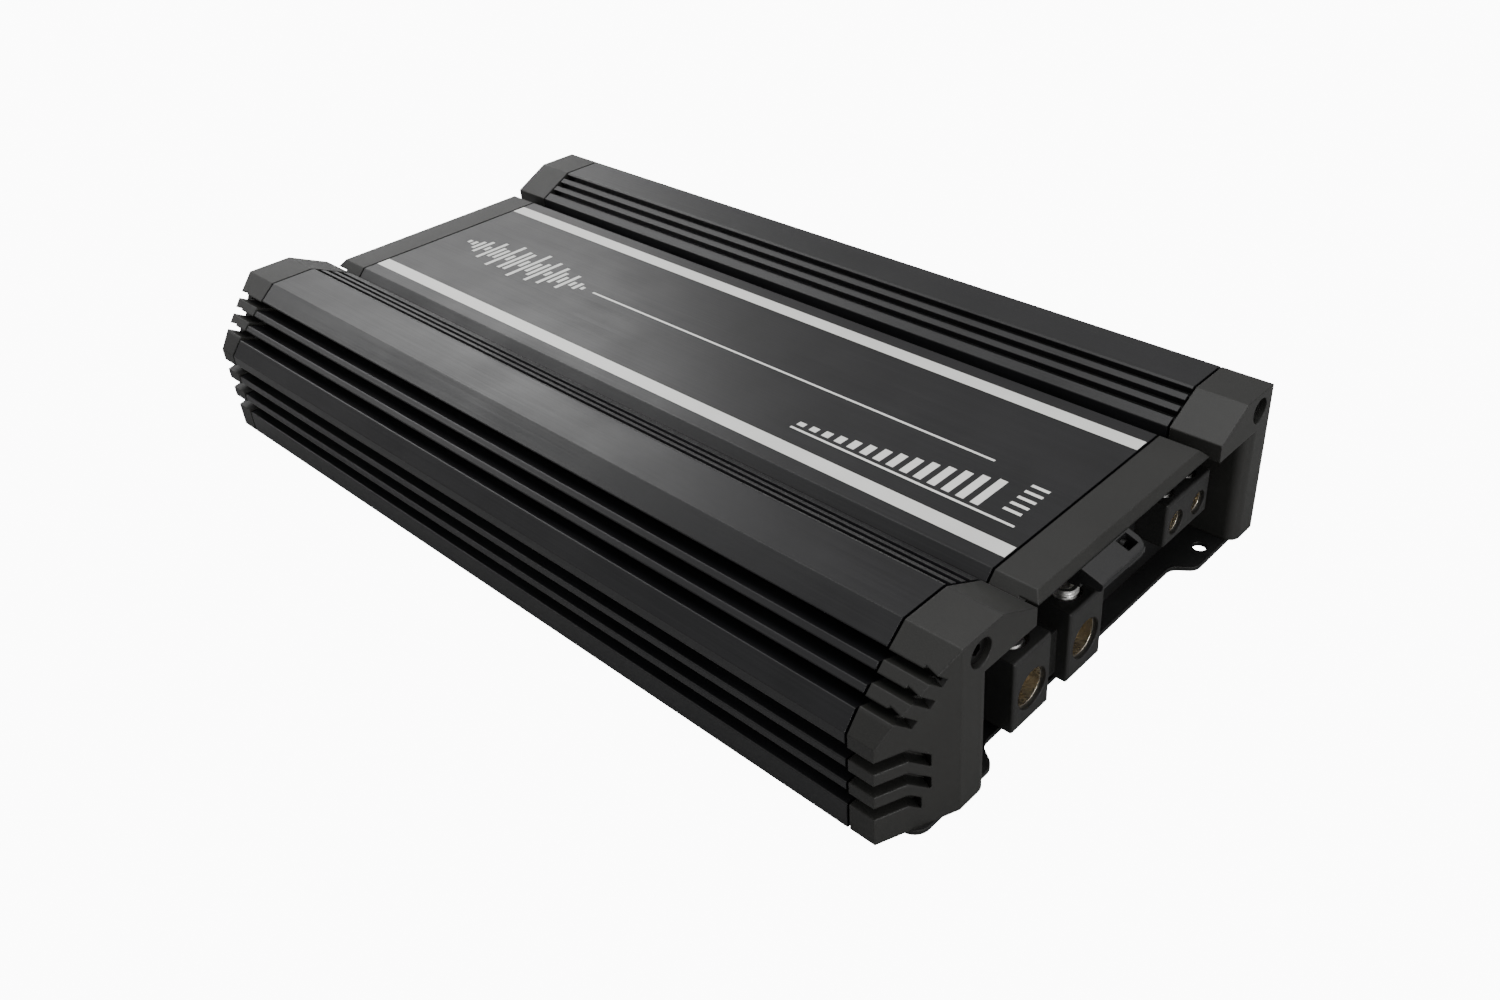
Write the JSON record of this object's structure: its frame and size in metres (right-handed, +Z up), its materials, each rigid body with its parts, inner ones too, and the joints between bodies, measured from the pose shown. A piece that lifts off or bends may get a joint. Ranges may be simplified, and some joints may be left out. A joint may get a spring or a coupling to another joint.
{
  "type": "car audio amplifier",
  "caption": "Flat finned car audio amplifier with die-cast end caps, recessed set-screw cable terminals at one end, and signal jacks and controls at the other.",
  "frame": {"origin": "on the underside of the bottom plate, midway between the ends of the extrusion and on its middle plane", "axes": "+X along the extrusion towards the power and speaker terminals, +Y across, +Z up"},
  "size_m": [0.3428, 0.2, 0.0549],
  "materials": {
    "heatsink_anodised": "dark grey anodised extrusion with fine lengthwise lines",
    "cap_paint": "dark grey satin powder coat on a die casting",
    "terminal_plastic": "black moulded insulating plastic",
    "plated_brass": "nickel-plated brass, bright",
    "screw_steel": "zinc-plated steel",
    "black_steel": "black coated steel",
    "lamp_lens": "dark translucent lens",
    "board": "green solder mask on glass-epoxy board",
    "brass": "bare brass",
    "ferrite": "coated ferrite ring",
    "copper_wire": "enamelled copper wire, close wound",
    "capacitor_sleeve": "shrunk plastic sleeve",
    "film_capacitor": "potted plastic box",
    "package_plastic": "moulded semiconductor package",
    "silicone_pad": "grey thermal pad",
    "bar_steel": "bare steel bar",
    "knob_plastic": "black moulded plastic",
    "jack_insulator": "white moulded insulator"
  },
  "bodies": {
    "root": {"heatsink": "heatsink_anodised", "terminal_end_cap": "cap_paint", "control_end_cap": "cap_paint", "cap_screws": "black_steel", "terminal_end_panel": "black_steel", "control_end_panel": "black_steel", "bottom_plate": "black_steel", "bottom_plate_screws": "black_steel", "power_terminal_housing": "terminal_plastic", "power_terminal_sockets": "plated_brass", "remote_terminal_socket": "plated_brass", "speaker_terminal_housing": "terminal_plastic", "speaker_terminal_sockets": "plated_brass", "status_hood": "cap_paint", "status_lenses": "lamp_lens", "status_hood_screw": "screw_steel", "main_board": "board", "board_standoffs": "brass", "board_screws": "screw_steel", "transformer_cores": "ferrite", "transformer_windings": "copper_wire", "output_choke_cores": "ferrite", "output_choke_windings": "copper_wire", "input_capacitors": "capacitor_sleeve", "rail_capacitors": "capacitor_sleeve", "film_capacitors": "film_capacitor", "power_transistors": "package_plastic", "insulating_pads": "silicone_pad", "transistor_clamp_bars": "bar_steel", "clamp_bar_screws": "screw_steel", "driver_board": "board", "driver_chips": "package_plastic", "control_board": "board", "signal_jack_body": "terminal_plastic", "signal_jack_shells": "plated_brass", "signal_jack_insulators": "jack_insulator", "potentiometer_bodies": "package_plastic", "slide_switch_bodies": "screw_steel", "remote_level_jack": "terminal_plastic"},
    "ground_clamp_screw_body": {"ground_clamp_screw": "plated_brass"},
    "battery_clamp_screw_body": {"battery_clamp_screw": "plated_brass"},
    "remote_clamp_screw_body": {"remote_clamp_screw": "plated_brass"},
    "speaker_negative_clamp_screw_body": {"speaker_negative_clamp_screw": "plated_brass"},
    "speaker_positive_clamp_screw_body": {"speaker_positive_clamp_screw": "plated_brass"},
    "input_level_knob_body": {"input_level_knob": "knob_plastic"},
    "low_pass_knob_body": {"low_pass_knob": "knob_plastic"},
    "subsonic_knob_body": {"subsonic_knob": "knob_plastic"},
    "bass_boost_knob_body": {"bass_boost_knob": "knob_plastic"},
    "phase_slider_body": {"phase_slider": "knob_plastic"},
    "link_slider_body": {"link_slider": "knob_plastic"}
  },
  "joints": [
    {"name": "ground_clamp_screw_travel", "type": "slide", "parent": "root", "child": "ground_clamp_screw_body", "axis": [0, 0, -1], "range_m": [0, 0.006]},
    {"name": "battery_clamp_screw_travel", "type": "slide", "parent": "root", "child": "battery_clamp_screw_body", "axis": [0, 0, -1], "range_m": [0, 0.0083]},
    {"name": "remote_clamp_screw_travel", "type": "slide", "parent": "root", "child": "remote_clamp_screw_body", "axis": [0, 0, -1], "range_m": [0, 0.0025]},
    {"name": "speaker_negative_clamp_screw_travel", "type": "slide", "parent": "root", "child": "speaker_negative_clamp_screw_body", "axis": [0, 0, -1], "range_m": [0, 0.0035]},
    {"name": "speaker_positive_clamp_screw_travel", "type": "slide", "parent": "root", "child": "speaker_positive_clamp_screw_body", "axis": [0, 0, -1], "range_m": [0, 0.0035]},
    {"name": "input_level_knob_turn", "type": "hinge", "parent": "root", "child": "input_level_knob_body", "pos_m": [-0.1525, 0.0137, 0.0305], "axis": [-1, 0, 0], "range_deg": [-145, 145]},
    {"name": "low_pass_knob_turn", "type": "hinge", "parent": "root", "child": "low_pass_knob_body", "pos_m": [-0.1525, -0.00877, 0.0305], "axis": [-1, 0, 0], "range_deg": [-145, 145]},
    {"name": "subsonic_knob_turn", "type": "hinge", "parent": "root", "child": "subsonic_knob_body", "pos_m": [-0.1525, -0.03123, 0.0305], "axis": [-1, 0, 0], "range_deg": [-145, 145]},
    {"name": "bass_boost_knob_turn", "type": "hinge", "parent": "root", "child": "bass_boost_knob_body", "pos_m": [-0.1525, -0.0537, 0.0305], "axis": [-1, 0, 0], "range_deg": [-145, 145]},
    {"name": "phase_slider_travel", "type": "slide", "parent": "root", "child": "phase_slider_body", "axis": [0, 1, 0], "range_m": [0, 0.003]},
    {"name": "link_slider_travel", "type": "slide", "parent": "root", "child": "link_slider_body", "axis": [0, 1, 0], "range_m": [0, 0.003]}
  ]
}
